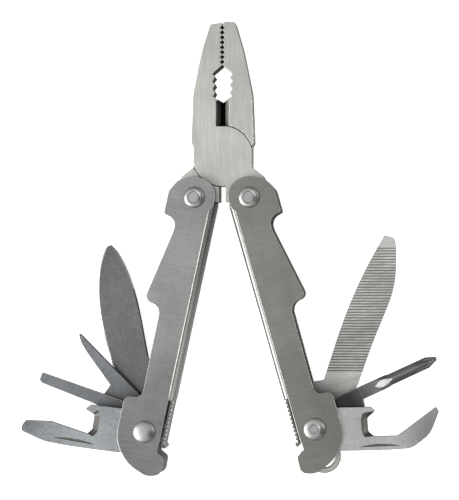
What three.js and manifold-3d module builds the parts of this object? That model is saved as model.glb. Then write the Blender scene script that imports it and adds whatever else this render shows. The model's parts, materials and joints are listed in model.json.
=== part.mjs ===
// A folding pliers multi tool, lying on its back with the jaws shut and the two channel handles
// spread, with seven tools and a lanyard loop turned out of them. Millimetres, +Z up, +Y towards
// the jaw tips.
import * as THREE from 'three';
import { mergeVertices } from 'three/addons/utils/BufferGeometryUtils.js';
import Module from 'manifold-3d';

const wasm = await Module();
wasm.setup();

// ---------------------------------------------------------------- driving dimensions

const THICKNESS = 15.6;          // across both side plates of a handle
const SHEET = 1.0;               // handle sheet
const MIDDLE = THICKNESS / 2;    // height of the plane that the tool is symmetric about
const HEAD_THICKNESS = 9.3;
const HEAD_LOW = MIDDLE - HEAD_THICKNESS / 2;
const HEAD_HIGH = MIDDLE + HEAD_THICKNESS / 2;
const LAP_GAP = 0.1;             // between the two half-thick discs of the head
const FACE_GAP = 0.1;            // between flat faces that slide on each other
const EDGE_GAP = 0.3;            // round a shank in its hole, and between edges

const DISC_RADIUS = 10;          // the lap joint of the head
const HEAD_HALF_WIDTH = 9.75;    // beside the disc, whose sides are cut flat to it
const DISC_GAP = 0.25;           // round a disc in the other jaw's pocket
const PIN_RADIUS = 3;
const PIN_COVER = 1;             // steel over each end of the pivot pin
const FRONT_TIP = [44.4, 43.8];  // a jaw tip's height above the pivot, inside and outside
const REAR_TIP = [44.6, 44.6];
const RIVET_X = 9.1;             // handle rivets, either side of the head's centre line
const RIVET_Y = -13.8;
const RIVET_PITCH = 79.4;        // from a handle's upper rivet to its lower one
const SHANK_RADIUS = 2;
const RIVET_HEAD_HEIGHT = 1.1;
const UPPER_RIVET_RADIUS = 3.5;
const LOWER_RIVET_RADIUS = 3.7;
const UPPER_WASHER_RADIUS = 4.4;
const SPACER_RADIUS = 4;
const EYE = 5.6;                 // a tool's round end, about its rivet
const LEFT_SPREAD = 12.1;        // degrees from hanging straight down, at rest
const RIGHT_SPREAD = 15.8;

const SPINE_OUTSIDE = 7.2;       // from the line of the rivets to the outside of the spine
const SPINE_BEND = 1.6;          // outside radius where the plates turn into the spine
const SPINE_TOP = -0.6;          // the spine's upper end, which stops against the tang
const SLOT_TOP = 12 - RIVET_PITCH;   // two slots free the spine's end as a spring tongue
const TONGUE_END = -3.5 - RIVET_PITCH;
const TONGUE_WIDTH = 9.0;
const LIP_RADIUS = 0.8;          // the tongue's rolled end

// Heights of the pieces stacked on the lower rivets. The lowest and highest pass behind and in
// front of the head when the handles are folded over it.
const BLADE_LAYER = [1.15, 2.95];
const AWL_LAYER = [5.4, 7.6];
const DRIVER_LAYER = [8.5, 10.5];
const OPENER_LAYER = [12.7, 14.45];
const LOOP_LAYER = [3.05, 4.55];
const PHILLIPS_LAYER = [5.6, 10.0];
const LEFT_SPACERS = [[3.05, 5.3], [7.7, 8.4], [10.6, 12.6]];
const RIGHT_SPACERS = [[4.65, 5.5], [10.1, 12.6]];

const CHORD_ERROR = 0.02;        // how far a round edge's straight steps may lie inside it
const TURNED_SIDES = 32;

// ---------------------------------------------------------------- materials

const steel = (color, roughness) => new THREE.MeshStandardMaterial({ color, roughness, metalness: 1 });
const HEAD_STEEL = steel(0xbdbcb5, 0.42);
const HANDLE_STEEL = steel(0x9c9c99, 0.45);
const BLADE_STEEL = steel(0x7d8288, 0.35);
const RIVET_STEEL = steel(0xc9c9c9, 0.2);
const WASHER_STEEL = steel(0x8e8e8e, 0.4);

// ---------------------------------------------------------------- shape helpers

// How many straight steps an arc takes.
function arcSteps(radius, turn) {
  const step = 2 * Math.acos(1 - Math.min(1, CHORD_ERROR / radius));
  return Math.max(1, Math.ceil(Math.abs(turn) / step));
}

// Points along [x, y, radius] corners, each rounded to its radius: a closed outline, or an
// open stretch of one, whose two ends stay sharp.
function rounded(corners, closed = true) {
  const points = [];
  corners.forEach(([x, y, radius = 0], i) => {
    const here = new THREE.Vector2(x, y);
    if (!radius || (!closed && (i === 0 || i === corners.length - 1))) {
      points.push(here);
      return;
    }
    const [bx, by] = corners.at(i - 1);
    const [ax, ay] = corners[(i + 1) % corners.length];
    const back = new THREE.Vector2(bx, by).sub(here).normalize();
    const ahead = new THREE.Vector2(ax, ay).sub(here).normalize();
    const half = Math.acos(THREE.MathUtils.clamp(back.dot(ahead), -1, 1)) / 2;
    const bisector = back.clone().add(ahead).normalize();
    const centre = here.clone().addScaledVector(bisector, radius / Math.sin(half));
    const start = here.clone().addScaledVector(back, radius / Math.tan(half)).sub(centre);
    const turn = (Math.PI - 2 * half) * Math.sign(ahead.cross(back));
    const steps = arcSteps(radius, turn);
    for (let k = 0; k <= steps; k += 1) {
      points.push(start.clone().rotateAround(new THREE.Vector2(), turn * k / steps).add(centre));
    }
  });
  return points;
}

// Points along a smooth curve through the places given.
const smooth = (places, steps) =>
  new THREE.SplineCurve(places.map(([x, y]) => new THREE.Vector2(x, y))).getPoints(steps);

// Points along part of a circle, from one angle to another in degrees.
function arc(x, y, radius, from, to) {
  const [a, b] = [from, to].map(THREE.MathUtils.degToRad);
  const steps = arcSteps(radius, b - a);
  return Array.from({ length: steps + 1 }, (_, k) => new THREE.Vector2(
    x + radius * Math.cos(a + (b - a) * k / steps), y + radius * Math.sin(a + (b - a) * k / steps)));
}

// A closed geometry becomes a solid that can be joined and cut.
function solid(geometry) {
  const bare = geometry.index ? geometry.toNonIndexed() : geometry;
  bare.deleteAttribute('normal');
  bare.deleteAttribute('uv');
  const merged = mergeVertices(bare, 1e-4);
  return new wasm.Manifold(new wasm.Mesh({
    numProp: 3,
    vertProperties: new Float32Array(merged.attributes.position.array),
    triVerts: new Uint32Array(merged.index.array),
  }));
}

// A flat plate of an outline, between two heights.
function slab(points, [low, high]) {
  const shape = new THREE.Shape(points);
  const geometry = new THREE.ExtrudeGeometry(shape, { depth: high - low, bevelEnabled: false });
  return solid(geometry.translate(0, 0, low));
}

function cylinder(x, y, radius, [low, high]) {
  return slab(arc(x, y, radius, 0, 360).slice(0, -1), [low, high]);
}

// A bar along Y whose section is an outline in x and z.
function barAlongY(points, [low, high]) {
  const shape = new THREE.Shape(points);
  const geometry = new THREE.ExtrudeGeometry(shape, { depth: high - low, bevelEnabled: false });
  return solid(geometry.rotateX(Math.PI / 2).translate(0, high, 0));
}

// A turned piece whose axis is Z, from its [radius, height] profile, given from the top down.
function turned(profile) {
  const points = profile.map(([r, z]) => new THREE.Vector2(r, z));
  return solid(new THREE.LatheGeometry(points.reverse(), TURNED_SIDES).rotateX(Math.PI / 2));
}

function mesh(name, body, material) {
  const { vertProperties, triVerts, numProp } = body.getMesh();
  const geometry = new THREE.BufferGeometry();
  const position = new Float32Array(vertProperties.length / numProp * 3);
  for (let i = 0; i < position.length / 3; i += 1) {
    position.set(vertProperties.subarray(i * numProp, i * numProp + 3), i * 3);
  }
  geometry.setAttribute('position', new THREE.BufferAttribute(position, 3));
  geometry.setIndex(new THREE.BufferAttribute(new Uint32Array(triVerts), 1));
  geometry.computeVertexNormals();
  const made = new THREE.Mesh(geometry, material);
  made.name = name;
  return made;
}

const ALL_HEIGHTS = [-5, THICKNESS + 5];

// The hole for a handle rivet, through everything at one place.
const bore = (x, y) => cylinder(x, y, SHANK_RADIUS + EDGE_GAP, ALL_HEIGHTS);

// ---------------------------------------------------------------- the head

const TOOTH_COUNT = 8;
const TOOTH_PITCH = 1.64;
const TOOTH_HALF_WIDTH = 0.95;
const TOOTH_HALF_HEIGHT = 0.74;
const TOOTH_TOP = 42.7;
const GRIP_TOP = 30.3;
const GRIP_BOTTOM = 17.9;
const GRIP_SHOULDER = 27.4;
const GRIP_HALF_WIDTH = 3.4;
const GRIP_TOOTH = 0.9;
const GRIP_FOOT = 1.9;           // the V below the last notch
const GRIP_TAPER = 0.1;          // each notch is narrower than the one above it
const GRIP_NOTCHES = 3;
const CUTTER = { top: 18.5, bottom: 9.9, faceHalf: 2.1, edgeHalf: 0.15, land: 0.6 };
const JAW_GAP = 0.15;            // from the centre line to each jaw's inner face

// The diamond holes that the two jaws' teeth leave between them.
function teethCuts() {
  const cuts = [];
  for (let i = 0; i < TOOTH_COUNT; i += 1) {
    const y = TOOTH_TOP - i * TOOTH_PITCH;
    const diamond = [[-TOOTH_HALF_WIDTH, y], [0, y - TOOTH_HALF_HEIGHT],
      [TOOTH_HALF_WIDTH, y], [0, y + TOOTH_HALF_HEIGHT]];
    cuts.push(slab(rounded(diamond), ALL_HEIGHTS));
  }
  return cuts;
}

// The toothed hole behind the jaw teeth, for gripping pipe and nuts.
function pipeGripCut() {
  const pitch = (GRIP_SHOULDER - GRIP_BOTTOM - GRIP_FOOT) / GRIP_NOTCHES;
  const side = [[GRIP_HALF_WIDTH, GRIP_SHOULDER]];
  for (let i = 0; i < GRIP_NOTCHES; i += 1) {
    const y = GRIP_SHOULDER - i * pitch;
    side.push([GRIP_HALF_WIDTH - GRIP_TOOTH, y - pitch / 2]);
    side.push([GRIP_HALF_WIDTH - GRIP_TAPER * i, y - pitch]);
  }
  const left = side.map(([x, y]) => [-x, y]);
  const points = [[0, GRIP_TOP], ...left, [0, GRIP_BOTTOM], ...side.reverse()];
  return slab(rounded(points), ALL_HEIGHTS);
}

// The wire cutter: both jaws slope from each face to an edge at mid thickness.
function cutterCut() {
  const { top, bottom, faceHalf, edgeHalf, land } = CUTTER;
  const past = 0.2;              // how far the cut runs on beyond each face
  const half = [[faceHalf + past, past + HEAD_THICKNESS / 2], [edgeHalf, land], [edgeHalf, -land],
    [faceHalf + past, -past - HEAD_THICKNESS / 2]];
  const mirrored = half.map(([x, z]) => [-x, z]).reverse();
  const section = [...half, ...mirrored].map(([x, z]) => new THREE.Vector2(x, MIDDLE + z));
  return barAlongY(section, [bottom, top]);
}

// One jaw, its disc and the tang that crosses to the other side. side is -1 with the jaw on
// the left and the disc in front, and 1 with the jaw on the right and the disc behind.
function jawHalf(side, [innerTip, outerTip]) {
  const heights = [HEAD_LOW, HEAD_HIGH];
  const sided = (corners) => corners.map(([x, y, r]) => [x * side, y, r]);
  const jaw = slab(rounded(sided([
    [JAW_GAP, 0], [JAW_GAP, innerTip, 0.3], [4.1, outerTip, 0.6], [7.0, 34.4, 40], [9.8, 20.6, 25],
    [10.4, 4.4, 0.4], [HEAD_HALF_WIDTH, 3.1, 0.3], [HEAD_HALF_WIDTH, 0],
  ])), heights);
  const tang = slab(rounded(sided([
    [-1.1, 0], [-1.1, -15.3, 0.4], [-9.1, -15.3], [-15, RIVET_Y], [-15, -9.4, 2], [-13.4, -6.6, 0.8],
    [-11.2, -4.9, 1.2], [-HEAD_HALF_WIDTH, -3.7, 0.3], [-HEAD_HALF_WIDTH, 0],
  ])), heights);
  const disc = cylinder(0, 0, DISC_RADIUS, heights)
    .intersect(slab(rounded([
      [-HEAD_HALF_WIDTH, -12], [HEAD_HALF_WIDTH, -12], [HEAD_HALF_WIDTH, 12], [-HEAD_HALF_WIDTH, 12],
    ]), heights));
  const rivetX = -side * RIVET_X;
  const eye = cylinder(rivetX, RIVET_Y, SPINE_OUTSIDE - SHEET - EDGE_GAP, heights);
  const pocketHeights = side < 0
    ? [HEAD_LOW - 1, MIDDLE + LAP_GAP / 2]
    : [MIDDLE - LAP_GAP / 2, HEAD_HIGH + 1];
  let body = jaw.add(tang).add(disc).add(eye)
    .subtract(cylinder(0, 0, DISC_RADIUS + DISC_GAP, pocketHeights))
    .subtract(cylinder(0, 0, PIN_RADIUS + EDGE_GAP, [HEAD_LOW + PIN_COVER, HEAD_HIGH - PIN_COVER]))
    .subtract(bore(rivetX, RIVET_Y))
    .subtract(pipeGripCut())
    .subtract(cutterCut());
  for (const cut of teethCuts()) {
    body = body.subtract(cut);
  }
  return body;
}

function makeHead() {
  const head = new THREE.Group();
  const pinHeights = [HEAD_LOW + PIN_COVER + FACE_GAP, HEAD_HIGH - PIN_COVER - FACE_GAP];
  head.add(mesh('front_jaw', jawHalf(-1, FRONT_TIP), HEAD_STEEL));
  head.add(mesh('rear_jaw', jawHalf(1, REAR_TIP), HEAD_STEEL));
  head.add(mesh('jaw_pivot_pin', cylinder(0, 0, PIN_RADIUS, pinHeights), RIVET_STEEL));
  return head;
}

// ---------------------------------------------------------------- handles

// A side plate. The upper rivet is at the origin, the spine towards +X and the side that the
// tools come out of towards -X.
function plateOutline() {
  return rounded([
    [5.7, -3.4, 1], [6.9, -1.6, 1], [6.9, 6.9, 6.4], [-1.7, 6.9, 6.4], [-6.6, 4.3, 3], [-8.8, 0.3, 3],
    [-8.8, -7.4, 0.8], [-4.4, -8.4, 3.5], [-4.4, -12.2, 6], [-9.2, -36.8, 2.2], [-3.4, -37.5, 3.6],
    [-3.2, -68.4, 2.6], [-8.9, -69.2, 2], [-8.9, -84, 12], [-3.6, -91, 13], [3.8, -93.7, 5],
    [8.4, -92.2, 2.6], [8.2, -86.6, 1.6], [5.4, -85.2, 0.9], [5.7, -80],
  ]);
}

// The section of the folded sheet: the ends of both plates, the two bends and the spine.
function channelSection() {
  const inner = SPINE_OUTSIDE - SHEET;
  return rounded([
    [5, 0], [SPINE_OUTSIDE, 0, SPINE_BEND], [SPINE_OUTSIDE, THICKNESS, SPINE_BEND], [5, THICKNESS],
    [5, THICKNESS - SHEET], [inner, THICKNESS - SHEET, 0.3], [inner, SHEET, 0.3], [5, SHEET],
  ]);
}

function handleShell() {
  const outline = plateOutline();
  const front = slab(outline, [THICKNESS - SHEET, THICKNESS]);
  const back = slab(outline, [0, SHEET]);
  const channel = barAlongY(channelSection(), [SLOT_TOP, SPINE_TOP]);
  const tongueHeights = [MIDDLE - TONGUE_WIDTH / 2, MIDDLE + TONGUE_WIDTH / 2];
  const tongue = slab(rounded([
    [SPINE_OUTSIDE - SHEET, SLOT_TOP + 2], [SPINE_OUTSIDE - SHEET, TONGUE_END],
    [SPINE_OUTSIDE, TONGUE_END], [SPINE_OUTSIDE, SLOT_TOP + 2],
  ]), tongueHeights);
  const rolledLip = cylinder(SPINE_OUTSIDE - 0.1, TONGUE_END, LIP_RADIUS, tongueHeights);
  return front.add(back).add(channel).add(tongue).add(rolledLip)
    .subtract(bore(0, 0))
    .subtract(bore(0, -RIVET_PITCH));
}

// A rivet with a low dome at each end, flat in the middle.
function rivet(headRadius) {
  const flat = headRadius / 2;
  const rim = 0.2;
  const domeSteps = 3;
  const dome = (sign, plate) => {
    const profile = [[0, plate + sign * RIVET_HEAD_HEIGHT], [flat, plate + sign * RIVET_HEAD_HEIGHT]];
    for (let k = 1; k <= domeSteps; k += 1) {
      const angle = Math.PI / 2 * (1 - k / domeSteps);
      const r = flat + (headRadius - flat) * Math.cos(angle);
      profile.push([r, plate + sign * (rim + (RIVET_HEAD_HEIGHT - rim) * Math.sin(angle))]);
    }
    profile.push([headRadius, plate], [SHANK_RADIUS, plate]);
    return profile;
  };
  const top = dome(1, THICKNESS + FACE_GAP / 2);
  const bottom = dome(-1, -FACE_GAP / 2);
  return turned([...top, ...bottom.reverse()]);
}

function washer(radius, heights) {
  return cylinder(0, 0, radius, heights).subtract(bore(0, 0));
}

// ---------------------------------------------------------------- tools

// Each tool points along +Y from its rivet at the origin, as it does when it is shut away. The
// tools of the left handle have its spine towards +X, and those of the right handle towards -X.
function tool(points, layer) {
  return slab(points, layer).add(cylinder(0, 0, EYE, layer)).subtract(bore(0, 0));
}

const NICK_DEPTH = 0.5;

// A crescent for a fingernail, sunk into a tool's upper face: between a curve and its chord.
function nailNick([x1, y1], [x2, y2], bulge, top) {
  const chord = new THREE.Vector2(x2 - x1, y2 - y1);
  const normal = new THREE.Vector2(-chord.y, chord.x).normalize();
  const middle = new THREE.Vector2((x1 + x2) / 2, (y1 + y2) / 2).addScaledVector(normal, bulge * 2);
  const curve = new THREE.QuadraticBezierCurve(
    new THREE.Vector2(x1, y1), middle, new THREE.Vector2(x2, y2));
  return slab(curve.getPoints(12), [top - NICK_DEPTH, top + 1]);
}

function knife() {
  const back = smooth([
    [-7.9, 23], [-8.2, 28.5], [-9, 37.5], [-8.4, 47.2], [-6.2, 56.2], [-3.3, 61.9], [-1.9, 63.3],
  ], 32);
  const edge = smooth([[-0.6, 63.4], [0.5, 61.8], [1.7, 59.2], [3.4, 52.8], [4.6, 42], [4.6, 24]], 28);
  const root = rounded([[4.6, 22.6], [4.6, 9, 3], [0, 0], [-5.2, 3], [-7.9, 14, 3], [-7.9, 22]], false);
  return tool([...back, ...edge, ...root], BLADE_LAYER);
}

function awl() {
  const blade = smooth([[2, 19.5], [3.5, 29.1], [4.5, 34.6], [5.4, 37.2], [6.4, 38.8]], 16);
  const rest = rounded([[6.6, 39.1], [7, 38.7, 0.3], [6.75, 11.2, 1], [5.4, 5], [0, 0],
    [-5.4, 3], [-5.2, 14, 3], [-4, 18.6, 0.5], [1.2, 19.3]], false);
  return tool([...blade, ...rest], AWL_LAYER);
}

function smallDriver() {
  const points = rounded([[3.6, 38.2, 0.4], [4.2, 39.4, 0.3], [7, 39.4, 0.3], [7, 11, 1],
    [5.4, 5], [0, 0], [-5.4, 3], [-4.6, 11, 2], [2.6, 13, 2]]);
  return tool(points, DRIVER_LAYER);
}

function canOpener() {
  const points = rounded([
    [-5.6, 2], [-8, 8, 1.5], [-7.9, 24, 12], [-7.4, 33, 12], [-4.9, 41, 0.8], [-3.2, 41.1, 0.4],
    [-1.2, 40, 0.4], [-0.4, 31.6, 2], [-3, 19, 0.8], [-1.3, 17.6, 1], [3.6, 17.5, 1],
    [5, 20.6, 0.3], [6.7, 18.9, 0.8], [6.7, 8.6, 1.2], [5.6, 3],
  ]);
  return tool(points, OPENER_LAYER)
    .subtract(nailNick([-6.4, 15.9], [-5.8, 30.2], -0.9, OPENER_LAYER[1]));
}

function hookOpener() {
  const points = rounded([
    [5.6, 2], [7.2, 8.2, 1.2], [6.8, 24, 12], [6.2, 32, 6], [1.4, 38, 8], [-5.9, 40.8, 0.5],
    [-7.5, 39.8, 0.3], [1, 28.6, 0.8], [2.1, 27, 0.8], [2.3, 19.4, 1.2], [0.8, 17.6, 1.2],
    [-3.6, 17.2, 1.2], [-6, 19.9, 0.4], [-7.3, 18.4, 0.8], [-7.1, 8.2, 1.2], [-5.6, 3],
  ]);
  return tool(points, OPENER_LAYER)
    .subtract(nailNick([6, 14.4], [5.4, 28.3], 0.9, OPENER_LAYER[1]));
}

function file() {
  const inside = smooth([[-2.9, 16], [-3.3, 30], [-3.3, 39], [-2.9, 47], [-2.1, 55], [-0.8, 63.5]], 20);
  const outside = smooth([[5.2, 65.2], [7.9, 57], [9, 50], [8.8, 42], [8.4, 33], [8.3, 18]], 24);
  const end = rounded([[-0.5, 65], [0, 68, 0.6], [3.5, 68.2, 1.2], [5, 65.8]], false);
  const root = rounded([[8.2, 17], [8.2, 12, 3], [5.2, 3], [0, 0], [-5.4, 3], [-6.2, 13.8, 0.8],
    [-3.2, 15.4]], false);
  return tool([...inside, ...end, ...outside, ...root], BLADE_LAYER);
}

const PHILLIPS = {
  axis: -4.1, barTop: 27.6, foot: 23.6, point: 46, coneBase: 42.6, radius: 1.9, halfBar: 2.1,
};

function phillips() {
  const { axis, barTop, foot, point, coneBase, radius, halfBar } = PHILLIPS;
  const middle = (PHILLIPS_LAYER[0] + PHILLIPS_LAYER[1]) / 2;
  const tang = tool(rounded([
    [axis - halfBar, barTop, 0.4], [axis - halfBar, 12, 2], [-5.4, 4], [0, 0], [5, 3], [3.4, 12, 3],
    [0.6, 17.8, 0.6], [axis + halfBar, 18.4, 0.4], [axis + halfBar, barTop, 0.4],
  ]), PHILLIPS_LAYER);
  const profile = [[0, point], [0.6, point - 0.1], [radius, coneBase], [radius, foot], [0, foot]];
  const shaft = turned(profile);
  // The turned shaft stands on Z and is laid down along Y on the bar's axis.
  const laid = shaft.rotate([-90, 0, 0]).translate([axis, 0, middle]);
  return tang.add(laid);
}

const LOOP = { reach: 10, radius: 5.7, neckHalf: 5.2, holeReach: 10.4, holeRadius: 3.4 };

function lanyardLoop() {
  const { reach, radius, neckHalf, holeReach, holeRadius } = LOOP;
  return cylinder(0, reach, radius, LOOP_LAYER)
    .add(slab(rounded([[-neckHalf, 2], [neckHalf, 2], [neckHalf, 9.4], [-neckHalf, 9.4]]), LOOP_LAYER))
    .add(cylinder(0, 0, neckHalf, LOOP_LAYER))
    .subtract(cylinder(0, holeReach, holeRadius, ALL_HEIGHTS))
    .subtract(bore(0, 0));
}

// ---------------------------------------------------------------- assembly

function turnedGroup(x, y, degrees) {
  const group = new THREE.Group();
  group.position.set(x, y, 0);
  group.rotation.z = THREE.MathUtils.degToRad(degrees);
  return group;
}

// A handle with its shell, rivets and washers, and its tools as [name, solid, degrees out].
function makeHandle(side, name, spread, tools, spacerHeights) {
  const handle = turnedGroup(-side * RIVET_X, RIVET_Y, -side * spread);
  const shell = mesh(`${name}_handle_shell`, handleShell(), HANDLE_STEEL);
  if (side < 0) {
    // The same pressing as the left handle, turned over about its length.
    shell.rotation.y = Math.PI;
    shell.position.z = THICKNESS;
  }
  handle.add(shell);
  handle.add(mesh(`${name}_upper_rivet`, rivet(UPPER_RIVET_RADIUS), RIVET_STEEL));
  const lower = turnedGroup(0, -RIVET_PITCH, 0);
  handle.add(lower);
  lower.add(mesh(`${name}_lower_rivet`, rivet(LOWER_RIVET_RADIUS), RIVET_STEEL));
  const gaps = [
    [SHEET + FACE_GAP, HEAD_LOW - FACE_GAP],
    [HEAD_HIGH + FACE_GAP, THICKNESS - SHEET - FACE_GAP],
  ];
  gaps.forEach((heights, i) => {
    handle.add(mesh(`${name}_upper_washer_${i + 1}`, washer(UPPER_WASHER_RADIUS, heights), WASHER_STEEL));
  });
  spacerHeights.forEach((heights, i) => {
    lower.add(mesh(`${name}_spacer_${i + 1}`, washer(SPACER_RADIUS, heights), WASHER_STEEL));
  });
  for (const [toolName, body, degreesOut] of tools) {
    const group = turnedGroup(0, 0, side * degreesOut);
    group.add(mesh(toolName, body, BLADE_STEEL));
    lower.add(group);
  }
  return handle;
}

const assembly = new THREE.Group();
assembly.add(makeHead());
assembly.add(makeHandle(1, 'left', LEFT_SPREAD, [
  ['knife_blade', knife(), 23.1],
  ['awl', awl(), 57.1],
  ['small_screwdriver', smallDriver(), 83.1],
  ['can_opener', canOpener(), 95.1],
], LEFT_SPACERS));
assembly.add(makeHandle(-1, 'right', RIGHT_SPREAD, [
  ['file', file(), 35.3],
  ['lanyard_loop', lanyardLoop(), 180.8],
  ['phillips_screwdriver', phillips(), 80.8],
  ['hook_opener', hookOpener(), 105.8],
], RIGHT_SPACERS));

// The origin is under the middle of the whole tool, on the surface that it lies on.
assembly.updateMatrixWorld(true);
const box = new THREE.Box3().setFromObject(assembly, true);
const centre = box.getCenter(new THREE.Vector3());
assembly.position.set(-centre.x, -centre.y, -box.min.z);

const part = new THREE.Group();
part.add(assembly);

export default part;
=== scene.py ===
"""Looks of a folding pliers multi tool. Every CAD node is replaced by a piece. Most are made from
the node's own mesh, with softened rims, ground bevels or file teeth. The rivets and the round part
of the cross-head driver are made anew. Ribs and beads are added to the handles' spines."""

import json
import math

import bmesh
import bpy
from mathutils import Matrix, Vector


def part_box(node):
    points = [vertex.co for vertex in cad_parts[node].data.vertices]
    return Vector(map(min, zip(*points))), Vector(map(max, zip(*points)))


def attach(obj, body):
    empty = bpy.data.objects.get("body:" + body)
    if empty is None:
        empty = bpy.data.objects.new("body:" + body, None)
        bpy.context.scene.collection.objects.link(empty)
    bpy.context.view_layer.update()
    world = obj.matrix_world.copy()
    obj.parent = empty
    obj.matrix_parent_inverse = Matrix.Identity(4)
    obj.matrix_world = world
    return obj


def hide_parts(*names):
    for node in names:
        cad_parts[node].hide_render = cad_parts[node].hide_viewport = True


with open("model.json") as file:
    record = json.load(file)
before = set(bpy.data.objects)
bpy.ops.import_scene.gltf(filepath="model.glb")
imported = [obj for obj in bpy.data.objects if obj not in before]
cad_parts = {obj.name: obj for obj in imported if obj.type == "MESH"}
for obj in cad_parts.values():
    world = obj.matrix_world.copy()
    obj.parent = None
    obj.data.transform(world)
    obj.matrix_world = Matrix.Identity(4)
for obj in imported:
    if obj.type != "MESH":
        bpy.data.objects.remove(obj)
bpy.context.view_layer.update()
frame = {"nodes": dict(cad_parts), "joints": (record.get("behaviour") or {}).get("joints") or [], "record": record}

MM = 0.001
SPINE = 7.2 * MM                 # from the line of the rivets to the outside of the spine
BEND = 1.6 * MM                  # the outside radius between a plate and the spine
PLATE_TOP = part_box("left_handle_shell")[1].z

# ------------------------------------------------------------------ places, from the frame

JOINTS = {joint["child"]: joint for joint in frame["joints"]}

# Degrees that each piece is turned about Z at rest, from pointing along +Y.
HANDLE_TURN = {"left": -12.1, "right": 15.8}
TURN = {
    "knife_blade": 11.0,
    "awl": 45.0,
    "small_screwdriver": 71.0,
    "can_opener": 83.0,
    "file": -19.5,
    "lanyard_loop": -165.0,
    "phillips_screwdriver": -65.0,
    "hook_opener": -90.0,
}

BODY_OF = {
    node: body
    for body, nodes in frame["record"]["behaviour"]["bodies"].items()
    for node in nodes
}


def local_frame(body, turn):
    """The matrix of a frame at a body's pivot, on the floor, turned about Z."""
    x, y, _ = JOINTS[body]["pos_m"]
    return Matrix.Translation((x, y, 0)) @ Matrix.Rotation(math.radians(turn), 4, "Z")


def turn_of(node):
    if node in TURN:
        return TURN[node]
    return HANDLE_TURN.get(node.split("_")[0], 0.0)


def handle_frame(side):
    """A handle's own frame, and which way its spine lies in it: 1 for +X, -1 for -X."""
    return local_frame(f"{side}_handle", HANDLE_TURN[side]), 1 if side == "left" else -1


# ------------------------------------------------------------------ materials


def ramp(nodes, links, value, stops):
    """A grey that follows a value through [place, grey] stops."""
    node = nodes.new("ShaderNodeValToRGB")
    links.new(value, node.inputs["Fac"])
    for i, (place, grey) in enumerate(stops):
        stop = node.color_ramp.elements[i] if i < 2 else node.color_ramp.elements.new(place)
        stop.position = place
        stop.color = (grey, grey, grey, 1)
    return node.outputs["Color"]


class Graph:
    """A small helper to build the nodes of a bare metal."""

    def __init__(self, name):
        self.material = bpy.data.materials.new(name)
        self.material.use_nodes = True
        self.nodes = self.material.node_tree.nodes
        self.links = self.material.node_tree.links
        self.shader = self.nodes["Principled BSDF"]
        self.shader.inputs["Metallic"].default_value = 1.0
        self.place = self.nodes.new("ShaderNodeTexCoord").outputs["Object"]

    def link(self, source, node, socket):
        self.links.new(source, node.inputs[socket])

    def noise(self, turn, scale, detail=4.0, roughness=0.6):
        """Noise stretched by a scale along each axis of a frame turned about Z, per metre."""
        mapping = self.nodes.new("ShaderNodeMapping")
        mapping.vector_type = "TEXTURE"
        mapping.inputs["Rotation"].default_value = (0, 0, math.radians(turn))
        mapping.inputs["Scale"].default_value = tuple(1 / s for s in scale)
        self.link(self.place, mapping, "Vector")
        noise = self.nodes.new("ShaderNodeTexNoise")
        noise.inputs["Scale"].default_value = 1.0
        noise.inputs["Detail"].default_value = detail
        noise.inputs["Roughness"].default_value = roughness
        self.link(mapping.outputs["Vector"], noise, "Vector")
        return noise.outputs["Fac"]

    def spread(self, value, low, high, from_low=0.35, from_high=0.65):
        """A noise value spread from its middle range to the range given."""
        node = self.nodes.new("ShaderNodeMapRange")
        node.inputs["From Min"].default_value = from_low
        node.inputs["From Max"].default_value = from_high
        node.inputs["To Min"].default_value = low
        node.inputs["To Max"].default_value = high
        self.link(value, node, "Value")
        return node.outputs["Result"]

    def add(self, a, b):
        node = self.nodes.new("ShaderNodeMath")
        node.operation = "ADD"
        self.links.new(a, node.inputs[0])
        self.links.new(b, node.inputs[1])
        return node.outputs[0]

    def colour(self, value, dark, light, marks_and_shade=()):
        """A colour between two, darkened round the centre of each real mark and each patch of painted shade."""
        node = self.nodes.new("ShaderNodeMix")
        node.data_type = "RGBA"
        node.inputs["A"].default_value = (*dark, 1)
        node.inputs["B"].default_value = (*light, 1)
        self.links.new(value, node.inputs["Factor"])
        result = node.outputs["Result"]
        for centre, inner, outer, darkest in marks_and_shade:
            result = self.darkened_round(result, centre, inner, outer, darkest)
        return result

    def paint(self, colour):
        self.link(colour, self.shader, "Base Color")

    def roughen(self, value):
        self.link(value, self.shader, "Roughness")

    def darkened_round(self, colour, centre, inner, outer, darkest):
        """The colour times darkest within inner of a point, and unchanged past outer."""
        away = self.nodes.new("ShaderNodeVectorMath")
        away.operation = "DISTANCE"
        self.links.new(self.place, away.inputs[0])
        away.inputs[1].default_value = centre
        shade = self.nodes.new("ShaderNodeMapRange")
        shade.interpolation_type = "SMOOTHSTEP"
        shade.inputs["From Min"].default_value = inner
        shade.inputs["From Max"].default_value = outer
        shade.inputs["To Min"].default_value = darkest
        self.link(away.outputs["Value"], shade, "Value")
        return self.times(colour, shade.outputs["Result"])

    def times(self, colour, grey):
        """A colour multiplied by a grey."""
        mix = self.nodes.new("ShaderNodeMix")
        mix.data_type = "RGBA"
        mix.blend_type = "MULTIPLY"
        mix.inputs["Factor"].default_value = 1.0
        self.links.new(colour, mix.inputs["A"])
        self.links.new(grey, mix.inputs["B"])
        return mix.outputs["Result"]

    def across(self, matrix, low, high, stops):
        """A grey that follows the distance across a piece, from low to high, through stops."""
        mapping = self.nodes.new("ShaderNodeMapping")
        mapping.vector_type = "TEXTURE"
        mapping.inputs["Location"].default_value = matrix.to_translation()
        mapping.inputs["Rotation"].default_value = matrix.to_euler()
        self.link(self.place, mapping, "Vector")
        split = self.nodes.new("ShaderNodeSeparateXYZ")
        self.link(mapping.outputs["Vector"], split, "Vector")
        share = self.spread(split.outputs["X"], 0, 1, low, high)
        return ramp(self.nodes, self.links, share, stops)

    def bump(self, value, strength, distance):
        node = self.nodes.new("ShaderNodeBump")
        node.inputs["Strength"].default_value = strength
        node.inputs["Distance"].default_value = distance
        self.link(value, node, "Height")
        self.links.new(node.outputs["Normal"], self.shader.inputs["Normal"])


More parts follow.
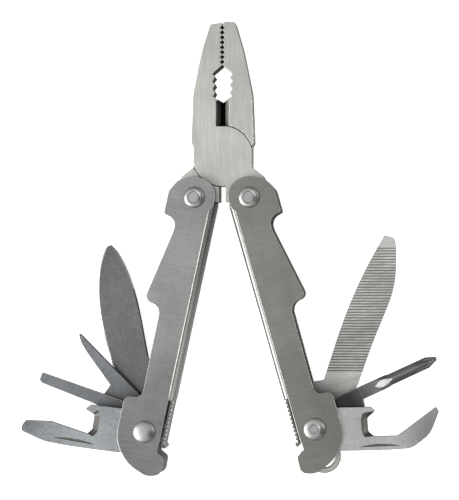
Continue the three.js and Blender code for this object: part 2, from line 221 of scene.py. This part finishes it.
SATIN = (900, 900, 900)
BRUSHED_ALONG = (1900, 70, 1900)
BRUSHED_ACROSS = (70, 1900, 1900)
GRAIN = {"along": BRUSHED_ALONG, "across": BRUSHED_ACROSS, "cut": BRUSHED_ALONG, "satin": SATIN}
SECOND_CUT = 55                  # degrees that a file's second cut is turned


def steel(name, colour, roughness, turn, grain, marks_and_shade=()):
    """Brushed or satin steel. The grain runs along the piece, across it, aslant as the second
    cut of a file does, or is an even satin."""
    graph = Graph(name)
    if grain == "cut":
        turn -= SECOND_CUT
    streak = 0.3 if grain == "across" else 0.5
    contrast = 0.42 if grain == "cut" else 0.2
    lines = graph.noise(turn, GRAIN[grain], 5.0, 0.75)
    patches = graph.noise(turn, (70, 45, 70), 3.0)
    specks = graph.noise(turn, (2600, 2600, 2600), 2.0)
    shade = graph.add(graph.spread(lines, 0, streak), graph.spread(patches, 0, 0.35))
    shade = graph.add(shade, graph.spread(specks, 0, 0.65 - streak))
    dark = [c * (1 - contrast) for c in colour]
    light = [min(1, c * (1 + contrast)) for c in colour]
    graph.paint(graph.colour(shade, dark, light, marks_and_shade))
    wear = graph.add(graph.spread(lines, -0.05, 0.06), graph.spread(patches, -0.05, 0.05))
    graph.roughen(graph.spread(wear, roughness - 0.1, roughness + 0.1, -0.1, 0.1))
    graph.bump(graph.add(lines, specks), 0.35, 0.03 * MM)
    return graph.material


def rim_steel(name, colour, roughness):
    """The rubbed, brighter steel of a piece's worn rims, with small nicks. With other colours it also makes the
    dark steels of painted shade and the knife's painted glint.
    """
    graph = Graph(name)
    nicks = graph.noise(0, (1500, 1500, 1500), 3.0)
    wear = graph.noise(0, (160, 160, 160), 3.0)
    graph.paint(graph.colour(graph.spread(wear, 0, 1), [c * 0.82 for c in colour], colour))
    graph.roughen(graph.spread(nicks, roughness - 0.06, roughness + 0.14))
    graph.bump(nicks, 0.25, 0.03 * MM)
    return graph.material


def polished(name, colour, roughness, marks_and_shade=()):
    """Turned or ground steel, polished, with faint marks."""
    graph = Graph(name)
    marks = graph.noise(0, (1100, 1100, 1100), 4.0)
    haze = graph.noise(0, (260, 260, 260), 2.0)
    graph.paint(graph.colour(graph.spread(haze, 0, 1), [c * 0.93 for c in colour], colour, marks_and_shade))
    graph.roughen(graph.spread(marks, roughness, roughness + 0.07))
    graph.bump(marks, 0.03, 0.02 * MM)
    return graph.material


def bend_steel(side, stops, marks_and_shade=()):
    """The rubbed steel of a handle's bend, with a painted highlight and painted shade: its grey follows stops from
    the plate to the spine.
    """
    graph = Graph(f"{side}_bend")
    graph.shader.inputs["Roughness"].default_value = 0.4
    marks = graph.noise(HANDLE_TURN[side], (1900, 60, 1900), 4.0)
    dark, light = (0.5, 0.495, 0.48), (0.62, 0.615, 0.6)
    colour = graph.colour(graph.spread(marks, 0, 1), dark, light, marks_and_shade)
    matrix, sign = handle_frame(side)
    painted_shading = graph.across(matrix, sign * (SPINE - BEND), sign * SPINE, stops)
    graph.paint(graph.times(colour, painted_shading))
    graph.bump(marks, 0.05, 0.02 * MM)
    return graph.material


def at(body, height=10.0):
    """A body's pivot, at a height in mm."""
    x, y, _ = JOINTS[body]["pos_m"]
    return Vector((x, y, height * MM))


def tip(node, reach, height=14.0):
    """A place out along a tool from its rivet, in mm."""
    return local_frame(BODY_OF[node], TURN[node]) @ (Vector((0, reach, height)) * MM)


def dark_patch(centre, inner, outer, darkest):
    """A darkened place: all of it within inner mm of its centre, and none past outer mm."""
    return centre, inner * MM, outer * MM, darkest


def handle_shade(side, lower_shade):
    """Painted shadow round both rivets, set off towards the upper right, and painted shade darkening the lower
    end.
    """
    upper, lower = at(f"{side}_handle"), LOWER_RIVET[side]
    rings = [dark_patch(place + SHADOW_OFFSET, 3.6, 6.2, 0.5) for place in (upper, lower)]
    return rings + [dark_patch(lower, 12, 46, lower_shade)]


LOWER_RIVET = {"left": at("knife"), "right": at("file")}
# The painted shadow rings round the rivets sit a little to the upper right of them.
SHADOW_OFFSET = Vector((0.5, 0.5, 0)) * MM
# Painted shade where the tools lie under the handles and under each other, darkest near the lower rivets.
LEFT_ROOT_SHADE = [dark_patch(LOWER_RIVET["left"], 9, 21, 0.45)]
# The knife's painted shade: darker near its root, and a little darker round its outer part.
KNIFE_SHADE = [dark_patch(LOWER_RIVET["left"], 9, 21, 0.62), dark_patch(tip("knife_blade", 70), 4, 34, 0.8)]
RIGHT_ROOT_SHADE = [dark_patch(LOWER_RIVET["right"], 9, 21, 0.35)]
DRIVER_ROOT_SHADE = [dark_patch(LOWER_RIVET["right"], 14, 27, 0.18)]
# Darker towards the upper rivet, on the left bend and the spine's ribs.
SPINE_UPPER_DARKENING = [dark_patch(at("left_handle", 14), 8, 58, 0.42)]
PIVOT_RING = [dark_patch(at("front_jaw", 13.6), 5.6, 6.3, 0.965)]
CAN_TIP = [dark_patch(tip("can_opener", 42), 2, 12, 0.6)]
HOOK_TIP = [dark_patch(tip("hook_opener", 42), 4, 16, 0.6)]

HEAD = (0.52, 0.514, 0.485)
# The handles are the same steel; the right one's darker tone is painted shade.
LEFT_HANDLE = (0.303, 0.303, 0.3)
RIGHT_HANDLE = (0.242, 0.238, 0.219)

# Each piece's colour, roughness, grain, and its darkened places: real marks and painted shade.
FACE = {
    "front_jaw": (HEAD, 0.42, "along", PIVOT_RING),
    "rear_jaw": (HEAD, 0.42, "along", []),
    # The handles' dark rings round the rivets and their darker lower ends are painted shade.
    "left_handle_shell": (LEFT_HANDLE, 0.40, "across", handle_shade("left", 0.68)),
    "right_handle_shell": (RIGHT_HANDLE, 0.40, "across", handle_shade("right", 0.85)),
    "knife_blade": ((0.18, 0.181, 0.184), 0.3, "satin", KNIFE_SHADE),
    "awl": ((0.19, 0.198, 0.208), 0.36, "satin", LEFT_ROOT_SHADE),
    "small_screwdriver": ((0.17, 0.177, 0.185), 0.36, "satin", LEFT_ROOT_SHADE),
    "can_opener": ((0.3, 0.318, 0.332), 0.36, "satin", CAN_TIP),
    "file": ((0.55, 0.545, 0.525), 0.34, "cut", RIGHT_ROOT_SHADE),
    "hook_opener": ((0.47, 0.475, 0.475), 0.36, "satin", HOOK_TIP),
    "lanyard_loop": ((0.50, 0.49, 0.46), 0.28, "satin", []),
}
HEAD_RIM = rim_steel("head_rim", (0.55, 0.54, 0.51), 0.3)
HANDLE_RIM = rim_steel("handle_rim", (0.46, 0.455, 0.44), 0.27)
TOOL_RIM = rim_steel("tool_rim", (0.5, 0.5, 0.48), 0.27)
# Painted highlight and shade across each bend, as grey stops from the plate to the spine.
LEFT_BEND = bend_steel("left", ((0, 0.9), (1, 1.3), (0.2, 0.75), (0.7, 1.1)), SPINE_UPPER_DARKENING)
RIGHT_BEND = bend_steel("right", ((0, 0.4), (1, 0.22), (0.3, 0.5), (0.6, 0.66)))
# The knife's back bevel steel, also used as the painted highlight on the outer part of its ground edge.
KNIFE_BEVEL_AND_GLINT = rim_steel("knife_bevel_and_glint", (0.62, 0.6, 0.56), 0.34)
SPACER_STEEL = steel("spacer_steel", (0.2, 0.19, 0.17), 0.42, 0, "satin")
PHILLIPS_BAR = polished("driver_bar", (0.24, 0.24, 0.235), 0.2, DRIVER_ROOT_SHADE)
# Near white steel, painted as a highlight on the driver's bar where it is ground round.
PHILLIPS_GLINT = polished("driver_glint", (0.9, 0.9, 0.88), 0.35)
# Dark steel painted as shade on the opener notches' slopes and the knife's edge near its root; beside the left
# spine's bead it is a painted dark reflection.
PAINTED_SHADE_STEEL = rim_steel("painted_shade_steel", (0.17, 0.165, 0.155), 0.35)
NICK_STEEL = rim_steel("nick_grind", (0.44, 0.41, 0.36), 0.3)
# Dark steel painted as shade in the file's grooves.
GROOVE_SHADE_STEEL = rim_steel("file_groove_shade", (0.2, 0.2, 0.19), 0.45)
# Painted black shadow in the gap at the wire cutter's edge.
GAP_SHADOW_STEEL = rim_steel("cutter_gap_shadow", (0.02, 0.02, 0.02), 0.5)
CUTTER_SLOPE = rim_steel("cutter_slope", (0.5, 0.49, 0.47), 0.6)
# Dark steel painted as shade on the jaws' recessed walls and the left cutter slope.
SHADED_WALL = rim_steel("shaded_wall", (0.12, 0.115, 0.105), 0.5)
SPINE_RIBS = polished("spine_ribs", (0.46, 0.45, 0.42), 0.26, SPINE_UPPER_DARKENING)
# A pale bead, painted as the highlight where the left plate meets its bend.
BEAD_HIGHLIGHT = polished("spine_bead", (0.78, 0.76, 0.7), 0.4)
TONGUE_RIBS = rim_steel("tongue_ribs", (0.66, 0.65, 0.62), 0.26)
RIMS = {"front_jaw": HEAD_RIM, "rear_jaw": HEAD_RIM, "left_handle_shell": HANDLE_RIM,
        "right_handle_shell": HANDLE_RIM}

# ------------------------------------------------------------------ mesh helpers


def cad_mesh(node):
    """A CAD node's mesh as a bmesh, welded, with its flat faces made whole."""
    bm = bmesh.new()
    bm.from_mesh(frame["nodes"][node].data)
    bmesh.ops.remove_doubles(bm, verts=bm.verts, dist=0.002 * MM)
    bmesh.ops.dissolve_limit(bm, angle_limit=math.radians(0.4), verts=bm.verts, edges=bm.edges)
    bm.normal_update()
    return bm


# Places in a piece's list of materials: its face, its rims, then its others in turn.
ON_FACE, ON_RIM, OTHER = 0, 1, 2


def is_level(face):
    return abs(face.normal.z) > 0.99


def rim_edges(bm, steepest=0.7):
    """The edges between a level face and a steep one."""
    found = []
    for edge in bm.edges:
        if len(edge.link_faces) != 2:
            continue
        a, b = edge.link_faces
        if is_level(a) != is_level(b) and min(abs(a.normal.z), abs(b.normal.z)) < steepest:
            found.append(edge)
    return found


def bevel(bm, edges, width, segments=2, material=ON_RIM):
    """Rounds or chamfers edges. Returns the new faces."""
    made = bmesh.ops.bevel(
        bm, geom=edges, offset=width, offset_type="OFFSET", segments=segments, profile=0.5,
        affect="EDGES", clamp_overlap=False, material=material, loop_slide=False)
    return made["faces"]


def middle(edge):
    return (edge.verts[0].co + edge.verts[1].co) / 2


def split_faces(bm, faces, place, normal):
    """Cuts faces where they cross a plane."""
    parts = set(faces)
    for face in faces:
        parts.update(face.edges, face.verts)
    bmesh.ops.bisect_plane(bm, geom=list(parts), plane_co=place, plane_no=normal, dist=1e-7)


def grind(bm, edges, width, depth, material):
    """A flat bevel, width wide in plan and depth deep, along the rims of level faces."""
    tops = {round(vert.co.z, 7) for edge in edges for vert in edge.verts}
    faces = bevel(bm, edges, width, 1, material)
    for vert in {v for face in faces for v in face.verts}:
        for top in tops:
            if abs(abs(vert.co.z - top) - width) < 0.02 * width:
                vert.co.z = top + math.copysign(depth, vert.co.z - top)
    return faces


def object_from(bm, name, materials, sharp_degrees):
    """An object from a bmesh, smooth but for edges sharper than an angle."""
    bmesh.ops.recalc_face_normals(bm, faces=bm.faces)
    mesh = bpy.data.meshes.new(name)
    bm.to_mesh(mesh)
    bm.free()
    for face in mesh.polygons:
        face.use_smooth = True
    mesh.set_sharp_from_angle(angle=math.radians(sharp_degrees))
    for material in materials:
        mesh.materials.append(material)
    piece = bpy.data.objects.new(name, mesh)
    bpy.context.scene.collection.objects.link(piece)
    return piece


def finished(bm, node, materials):
    """Makes the piece that stands for a CAD node and rides on its body."""
    piece = object_from(bm, f"{node}_piece", materials, 32)
    even = piece.modifiers.new("even_shading", "WEIGHTED_NORMAL")
    even.keep_sharp = True
    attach(piece, BODY_OF[node])
    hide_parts(node)


def attached(bm, name, body, material):
    """Makes a detail that stands for no node and rides on a handle."""
    piece = object_from(bm, name, [material], 50)
    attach(piece, body)


def materials_of(node, *others):
    """A piece's face and rim materials, and any others that it has."""
    colour, roughness, grain, marks_and_shade = FACE[node]
    face = steel(f"{node}_steel", colour, roughness, turn_of(node), grain, marks_and_shade)
    return [face, RIMS.get(node, TOOL_RIM), *others]


# ------------------------------------------------------------------ the pieces


def make_plain(node, width, segments=2):
    """A piece whose only detail is its softened rims."""
    bm = cad_mesh(node)
    bevel(bm, rim_edges(bm), width, segments)
    finished(bm, node, materials_of(node))


def make_ring(node):
    """A washer or a spacer, with its rims broken."""
    bm = cad_mesh(node)
    bevel(bm, rim_edges(bm), 0.08 * MM, 1, ON_FACE)
    finished(bm, node, [SPACER_STEEL])


def make_rivet(node, flat):
    """A turned rivet: its shank, and a domed head at each end. The flat on a head is a share of
    its radius, and a groove runs round all but the smallest flat."""
    low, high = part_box(node)
    centre = (low + high) / 2
    radius = (high.x - low.x) / 2
    rise, shank, lip = 1.1 * MM, 2 * MM, 0.2 * MM
    groove = [(0.15 * MM, 0.26 * MM), (0.38 * MM, 0.14 * MM)]
    half = (high.z - low.z) / 2
    sides, steps = 64, 9
    ring = [(0.0, half), (flat * radius, half)]
    if flat > 0.3:
        ring += [(flat * radius + out, half - down) for out, down in groove]
    start_radius, start_height = ring[-1]
    drop = start_height - (half - rise + lip)
    for k in range(1, steps + 1):
        angle = math.pi / 2 * k / steps
        r = start_radius + (radius - start_radius) * math.sin(angle)
        ring.append((r, start_height - drop * (1 - math.cos(angle))))
    ring += [(radius - 0.1 * MM, half - rise), (shank, half - rise)]
    profile = ring + [(r, -z) for r, z in reversed(ring)]
    bm = bmesh.new()
    verts = [bm.verts.new((r, 0, z)) for r, z in profile]
    edges = [bm.edges.new(pair) for pair in zip(verts, verts[1:])]
    bmesh.ops.spin(bm, geom=verts + edges, cent=(0, 0, 0), axis=(0, 0, 1),
                   angle=2 * math.pi, steps=sides)
    bmesh.ops.remove_doubles(bm, verts=bm.verts, dist=0.001 * MM)
    bmesh.ops.translate(bm, verts=bm.verts, vec=centre)
    # Each dome is painted darker on its right side, as shade.
    shaded_side = centre + Vector((0.78 * radius, -0.2 * radius, half))
    dome_shade = [dark_patch(shaded_side, 0.4, 2.5, 0.35)]
    finished(bm, node, [polished(f"{node}_polish", (0.42, 0.42, 0.41), 0.36, dome_shade)])


def loft(bm, rings, closed=True):
    """Faces between rings of vertices, with a face on each end of a closed loft."""
    sides = len(rings[0])
    for a, b in zip(rings, rings[1:]):
        for k in range(sides if closed else sides - 1):
            bm.faces.new((a[k], a[(k + 1) % sides], b[(k + 1) % sides], b[k]))
    if closed:
        bm.faces.new(rings[0])
        bm.faces.new(rings[-1])


CUTTER_GAP_SHADOW, CUTTER_RIGHT, CUTTER_IN_SHADE = OTHER, OTHER + 1, OTHER + 2


def make_jaw(node):
    """A jaw, with its wire cutter ground and its rims softened."""
    bm = cad_mesh(node)
    grind_cutter(bm)
    bevel(bm, rim_edges(bm, 0.75), 0.12 * MM, 2)
    darken_inside(bm)
    finished(bm, node, materials_of(node, GAP_SHADOW_STEEL, CUTTER_SLOPE, SHADED_WALL))


def darken_inside(bm):
    """The walls of the teeth and of the pipe grip get a dark steel, painted shade in these recesses."""
    pivot = at("front_jaw")
    half_width, low, high = 3.6 * MM, 9 * MM, 43.6 * MM
    for face in bm.faces:
        place = face.calc_center_median() - pivot
        if abs(face.normal.z) < 0.2 and abs(place.x) < half_width and low < place.y < high:
            face.material_index = CUTTER_IN_SHADE


def grind_cutter(bm):
    """The wire cutter's slopes: roughly ground, the left one painted darker as shade, and painted black near the
    edge as the shadow in the gap between the jaws. The edge nearly meets the other jaw's."""
    pivot = at("front_jaw")
    half_width, shadow_width, gap = 2.25 * MM, 0.72 * MM, 0.02 * MM
    edge_place = 0.15 * MM

    def slopes():
        return [f for f in bm.faces if 0.2 < abs(f.normal.z) < 0.9
                and abs(f.calc_center_median().x - pivot.x) < half_width]

    for side in (-1, 1):
        split_faces(bm, slopes(), pivot + Vector((side * shadow_width, 0, 0)), (1, 0, 0))
        bm.normal_update()
    for face in slopes():
        place = face.calc_center_median().x - pivot.x
        face.material_index = CUTTER_RIGHT if place > 0 else CUTTER_IN_SHADE
        if abs(place) < shadow_width:
            face.material_index = CUTTER_GAP_SHADOW
        for vert in face.verts:
            away = vert.co.x - pivot.x
            if abs(abs(away) - edge_place) < 0.01 * MM:
                vert.co.x = pivot.x + math.copysign(gap, away)


def make_shell(node, bend):
    """A handle. Its bends and spine are smoother than its brushed plates."""
    bm = cad_mesh(node)
    for face in bm.faces:
        face.material_index = ON_FACE if is_level(face) else OTHER
    bevel(bm, rim_edges(bm, 0.2), 0.16 * MM, 3)
    finished(bm, node, materials_of(node, bend))


RIB_PITCH = 1.37 * MM


def bend_section(low, high):
    """Places in x and z up the spine and, past the bend's lower end, round the bend."""
    bend_low = PLATE_TOP - BEND
    straight = min(high, bend_low)
    section = [(SPINE, low), (SPINE, (low + straight) / 2), (SPINE, straight)]
    for degrees in range(11, 67, 11):
        angle = math.radians(degrees)
        z = bend_low + BEND * math.sin(angle)
        if z < high:
            section.append((SPINE - BEND * (1 - math.cos(angle)), z))
    return section


def make_ribs(name, side, material, span, section):
    """Grip ribs across a section of the outside of a spine."""
    top, bottom = span
    rise, sunk, steps = 0.18 * MM, 0.04 * MM, 8
    matrix, sign = handle_frame(side)
    count = round((top - bottom) / RIB_PITCH) * steps
    centre_x, centre_z = SPINE - BEND, sum(z for _, z in section) / len(section)
    bm = bmesh.new()
    rings = []
    for i in range(count + 1):
        y = top + (bottom - top) * i / count
        swell = rise * abs(math.sin(math.pi * i / steps)) - sunk
        ring = []
        for k, (x, z) in enumerate(section):
            out = -sunk if k in (0, len(section) - 1) else swell
            lift = max(0.0, z - centre_z) if x < SPINE else 0
            away = Vector((x - centre_x, 0, lift)).normalized()
            place = Vector((sign * (x + out * away.x), y, z + out * away.z))
            ring.append(bm.verts.new(matrix @ place))
        rings.append(ring)
    loft(bm, rings, closed=False)
    attached(bm, name, f"{side}_handle", material)


def make_bead(name, side, span, offset, radius, material):
    """A narrow raised bead down the front of a handle where its plate meets the bend."""
    top, bottom = span
    sides, steps = 14, 60
    x, z = SPINE - BEND + offset, PLATE_TOP - 0.1 * MM
    matrix, sign = handle_frame(side)
    bm = bmesh.new()
    rings = []
    for i in range(steps + 1):
        share = i / steps
        y = top + (bottom - top) * share
        r = radius * min(1.0, 0.2 + 12 * min(share, 1 - share))
        ring = []
        for k in range(sides):
            angle = 2 * math.pi * k / sides
            place = Vector((sign * (x + r * math.cos(angle)), y, z + r * math.sin(angle)))
            ring.append(bm.verts.new(matrix @ place))
        rings.append(ring)
    loft(bm, rings)
    attached(bm, name, f"{side}_handle", material)


def split_rims(bm, matrix, chosen):
    """Rim edges as (those whose middle, in the piece's own frame, is chosen; the others)."""
    back = matrix.inverted()
    rims = rim_edges(bm)
    picked = [edge for edge in rims if chosen(back @ middle(edge) / MM)]
    names = set(picked)
    return picked, [edge for edge in rims if edge not in names]


def make_knife():
    """The blade: a ground edge, a broken back and softened rims at its root."""
    node = "knife_blade"
    bm = cad_mesh(node)
    matrix = local_frame("knife", TURN[node])
    root_end, blade_start, between, edge_glint_from = 23, 23.2, -1.3, 48
    root = split_rims(bm, matrix, lambda p: p.y < root_end)[0]
    bevel(bm, root, 0.12 * MM, 1)
    edge = split_rims(bm, matrix, lambda p: p.y > blade_start and p.x > between)[0]
    # The ground edge is painted bright as a highlight towards the tip, and dark as shade nearer the root.
    for face in grind(bm, edge, 0.4 * MM, 0.7 * MM, OTHER):
        if (matrix.inverted() @ face.calc_center_median()).y < edge_glint_from * MM:
            face.material_index = OTHER + 1
    back = split_rims(bm, matrix, lambda p: p.y > blade_start and p.x < between)[0]
    grind(bm, back, 0.5 * MM, 0.25 * MM, OTHER)
    finished(bm, node, materials_of(node, KNIFE_BEVEL_AND_GLINT, PAINTED_SHADE_STEEL))


def slope_nick(bm, top):
    """A fingernail nick gets a floor that is deep along its straight side. Returns its edges."""
    depth, shallow = 0.5 * MM, 0.03 * MM
    edges = set()
    for face in bm.faces:
        if is_level(face) and abs(face.calc_center_median().z - (top - depth)) < 0.01 * MM:
            face.material_index = OTHER
            straight = max(face.edges, key=lambda e: e.calc_length())
            for vert in face.verts:
                if vert not in straight.verts:
                    vert.co.z = top - shallow
            walls = {f for e in face.edges for f in e.link_faces}
            edges |= {e for f in walls for e in f.edges}
    return edges


def make_opener(node, in_notch):
    """An opener: its notch is ground to a wide slope, and its nick is a sloped groove."""
    bm = cad_mesh(node)
    matrix = local_frame(BODY_OF[node], TURN[node])
    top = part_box(node)[1].z
    nick = slope_nick(bm, top)
    soft = split_rims(bm, matrix, in_notch)[1]
    bevel(bm, [edge for edge in soft if edge not in nick], 0.12 * MM, 1)
    notch = split_rims(bm, matrix, lambda p: in_notch(p) and p.z * MM > top - 0.1 * MM)[0]
    # The notch slope is painted dark, as shade.
    grind(bm, notch, 2.1 * MM, 1.5 * MM, OTHER + 1)
    finished(bm, node, materials_of(node, NICK_STEEL, PAINTED_SHADE_STEEL))


def make_file():
    """The file. Its teeth are grooves across it, level with the tool's width at rest."""
    node = "file"
    bm = cad_mesh(node)
    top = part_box(node)[1].z
    pivot_y = JOINTS["file"]["pos_m"][1]
    first, last = pivot_y + 18.75 * MM, pivot_y + 59.7 * MM
    pitch, half_width, depth = 0.93 * MM, 0.18 * MM, 0.2 * MM
    shallower = 0.55             # the share of their depth that the grooves lose by the last

    def on_top(face):
        return all(abs(v.co.z - top) < 1e-6 for v in face.verts)

    centres = [first + i * pitch for i in range(round((last - first) / pitch) + 1)]
    for centre in centres:
        for offset in (-half_width, 0, half_width):
            faces = [face for face in bm.faces if on_top(face)]
            split_faces(bm, faces, (0, centre + offset, 0), (0, 1, 0))
    for vert in bm.verts:
        nearest = min(abs(vert.co.y - centre) for centre in centres)
        if abs(vert.co.z - top) < 1e-6 and nearest < half_width:
            fade = 1 - shallower * (vert.co.y - first) / (last - first)
            vert.co.z -= depth * fade * (1 - nearest / half_width)
    bm.normal_update()
    # The grooves' sloped faces get the dark steel, painted shade in the teeth.
    for face in bm.faces:
        middle_y = face.calc_center_median().y
        groove = 0.3 < face.normal.z < 0.95
        if groove and first - pitch < middle_y < last + pitch:
            face.material_index = OTHER
    finished(bm, node, materials_of(node, GROOVE_SHADE_STEEL))


def make_phillips():
    """The cross-head driver: its flat tang, then a square bar ground round towards a fluted tip."""
    node = "phillips_screwdriver"
    matrix = local_frame(BODY_OF[node], TURN[node])
    low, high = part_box(node)
    axis_x = -4.1 * MM
    axis_z = (low.z + high.z) / 2
    half = 2.1 * MM
    join, end = 18.7 * MM, 46 * MM
    overlap = 0.3 * MM
    ground_from, round_from, point_from = 24 * MM, 29 * MM, 42.6 * MM
    whole, ground, blunt = 3.1 * MM, 1.9 * MM, 0.6 * MM
    flutes_from, flute_depth, flute_steepness = 38.5 * MM, 0.62, 1.6
    glint_from, glint_length, glint_width = 23.5 * MM, 6.5 * MM, 1.2 * MM
    bm = cad_mesh(node)
    cut = bmesh.ops.bisect_plane(
        bm, geom=bm.verts[:] + bm.edges[:] + bm.faces[:], plane_co=matrix @ Vector((0, join, 0)),
        plane_no=matrix.to_3x3() @ Vector((0, 1, 0)), clear_outer=True)
    cut_edges = [part for part in cut["geom_cut"] if isinstance(part, bmesh.types.BMEdge)]
    bmesh.ops.contextual_create(bm, geom=cut_edges)
    bm.normal_update()
    bevel(bm, rim_edges(bm), 0.2 * MM, 1)

    def outer(y):
        """The radius that the bar is ground to at a distance from the rivet."""
        if y < ground_from:
            return whole
        if y < round_from:
            return whole + (ground - whole) * (y - ground_from) / (round_from - ground_from)
        if y < point_from:
            return ground
        return ground + (blunt - ground) * (y - point_from) / (end - point_from)

    def flute(y):
        """The share of its radius that the bar loses in its four flutes."""
        share = max(0.0, (y - flutes_from) / (end - flutes_from))
        return flute_depth * min(1.0, share * flute_steepness)

    sides, steps = 64, 72
    rings = []
    for i in range(steps + 1):
        y = join - overlap + (end - join + overlap) * i / steps
        ring = []
        for k in range(sides):
            angle = 2 * math.pi * k / sides
            square = half / max(abs(math.cos(angle)), abs(math.sin(angle)))
            r = min(outer(y), square) * (1 - flute(y) * math.sin(2 * angle) ** 2)
            place = Vector((axis_x + r * math.cos(angle), y, axis_z + r * math.sin(angle)))
            ring.append(bm.verts.new(matrix @ place))
        rings.append(ring)
    loft(bm, rings)
    back = matrix.inverted()
    # A lens-shaped patch on top of the bar, where it turns from square to round, is painted near white as a
    # highlight.
    for face in bm.faces:
        place = back @ face.calc_center_median()
        share = (place.y - glint_from) / glint_length
        glint = glint_width * math.sin(math.pi * share) if 0 < share < 1 else 0
        if place.z > axis_z and abs(place.x - axis_x) < glint:
            face.material_index = OTHER
    finished(bm, node, [PHILLIPS_BAR, TOOL_RIM, PHILLIPS_GLINT])


for jaw in ("front_jaw", "rear_jaw"):
    make_jaw(jaw)
make_ring("jaw_pivot_pin")
for side, bend in (("left", LEFT_BEND), ("right", RIGHT_BEND)):
    make_shell(f"{side}_handle_shell", bend)
    make_rivet(f"{side}_upper_rivet", 0.5)
for ring in [n for n in frame["nodes"] if "washer" in n or "spacer" in n]:
    make_ring(ring)
make_rivet("left_lower_rivet", 0.08)
make_rivet("right_lower_rivet", 0.34)
UPPER_SPINE = (-1.5 * MM, -67.4 * MM)
TONGUE = (-67.4 * MM, -82.6 * MM)
# The bead's pale steel is a painted highlight.
make_bead("left_spine_bead", "left", UPPER_SPINE, 0.05 * MM, 0.22 * MM, BEAD_HIGHLIGHT)
# A dark line beside the bead, painted as a dark reflection.
make_bead("left_spine_dark_line", "left", UPPER_SPINE, 0.4 * MM, 0.15 * MM, PAINTED_SHADE_STEEL)
make_ribs("left_spine_ribs", "left", SPINE_RIBS, UPPER_SPINE, bend_section(10 * MM, 16.3 * MM))
make_ribs("right_spine_ribs", "right", SPINE_RIBS, UPPER_SPINE, bend_section(4 * MM, 14 * MM))
TONGUE_LOW, TONGUE_HIGH = 4.6 * MM, 13.4 * MM
TONGUE_SECTION = [(SPINE, TONGUE_LOW), (SPINE, 9 * MM), (SPINE, TONGUE_HIGH - 0.2 * MM),
                  (SPINE - 0.2 * MM, TONGUE_HIGH), (SPINE - 0.6 * MM, TONGUE_HIGH),
                  (SPINE - 0.9 * MM, TONGUE_HIGH)]
for side in ("left", "right"):
    make_ribs(f"{side}_tongue_ribs", side, TONGUE_RIBS, TONGUE, TONGUE_SECTION)
make_knife()
make_plain("awl", 0.2 * MM, 1)
make_plain("small_screwdriver", 0.15 * MM)
make_opener("can_opener", lambda p: -3.2 < p.x < 4.2 and 16.5 < p.y < 18.8)
make_opener("hook_opener", lambda p: -5.0 < p.x < 2.5 and 16.5 < p.y < 19.0)
make_plain("lanyard_loop", 0.4 * MM, 3)
make_file()
make_phillips()

# ------------------------------------------------------------------ floor, light and camera


def make_floor():
    """A pale floor just below the tool, lit from within and left out of its reflections."""
    bpy.ops.mesh.primitive_plane_add(size=6, location=(0, 0, -0.0002))
    floor = bpy.context.object
    floor.name = "floor"
    material = bpy.data.materials.new("pale_floor")
    material.use_nodes = True
    shader = material.node_tree.nodes["Principled BSDF"]
    shader.inputs["Base Color"].default_value = (0.9, 0.9, 0.9, 1)
    shader.inputs["Roughness"].default_value = 0.9
    shader.inputs["Emission Color"].default_value = (1, 1, 1, 1)
    shader.inputs["Emission Strength"].default_value = 0.86
    floor.data.materials.append(material)
    floor.visible_glossy = False


def make_light(name, place, size, power):
    """A square soft box that faces the middle of the tool."""
    data = bpy.data.lights.new(name, "AREA")
    data.size = size
    data.energy = power
    light = bpy.data.objects.new(name, data)
    light.location = place
    light.rotation_euler = (-Vector(place)).to_track_quat("-Z", "Y").to_euler()
    bpy.context.scene.collection.objects.link(light)


def make_world():
    """A studio: light walls on the left and right, darker ahead, and a fairly bright ceiling."""
    world = bpy.data.worlds.new("studio")
    world.use_nodes = True
    bpy.context.scene.world = world
    nodes = world.node_tree.nodes
    links = world.node_tree.links
    split = nodes.new("ShaderNodeSeparateXYZ")
    links.new(nodes.new("ShaderNodeTexCoord").outputs["Generated"], split.inputs[0])
    across = nodes.new("ShaderNodeMapRange")
    across.inputs["From Min"].default_value = -1
    links.new(split.outputs["X"], across.inputs["Value"])
    walls = ramp(nodes, links, across.outputs["Result"],
                 ((0.0, 0.5), (1.0, 0.75), (0.2, 0.55), (0.42, 0.35), (0.55, 0.16), (0.7, 0.35)))
    ceiling = ramp(nodes, links, split.outputs["Z"], ((0.6, 0.0), (0.95, 1.0)))
    mix = nodes.new("ShaderNodeMix")
    mix.data_type = "RGBA"
    mix.inputs["B"].default_value = (0.52, 0.52, 0.52, 1)
    links.new(ceiling, mix.inputs["Factor"])
    links.new(walls, mix.inputs["A"])
    links.new(mix.outputs["Result"], nodes["Background"].inputs["Color"])


def make_camera():
    """Looks down on the tool from a little to its right and its foot, as the picture is taken."""
    data = bpy.data.cameras.new("camera")
    camera = bpy.data.objects.new("camera", data)
    bpy.context.scene.collection.objects.link(camera)
    target = Vector((0.12, -0.48, 13.6)) * MM
    distance = 800 * MM
    offset = Vector((66, -10.4, 0)) * MM
    offset.z = math.sqrt(distance ** 2 - offset.length_squared)
    view_height = 165.8 * MM
    camera.location = target + offset
    right = Vector((0, 1, 0)).cross(offset).normalized()
    axes = Matrix((right, offset.cross(right).normalized(), offset.normalized())).transposed()
    camera.rotation_euler = axes.to_euler()
    data.sensor_width = 36
    data.lens = data.sensor_width * distance / view_height
    data.clip_start = 0.01
    bpy.context.scene.camera = camera


make_floor()
make_world()
make_light("overhead", (-0.15, 0.1, 1.3), 0.9, 1.0)
make_light("key_left", (-0.75, -0.3, 0.65), 0.7, 12.0)
make_light("strip_right", (0.7, 0.1, 0.75), 0.16, 1.0)
make_camera()
bpy.context.scene.view_settings.view_transform = "Standard"
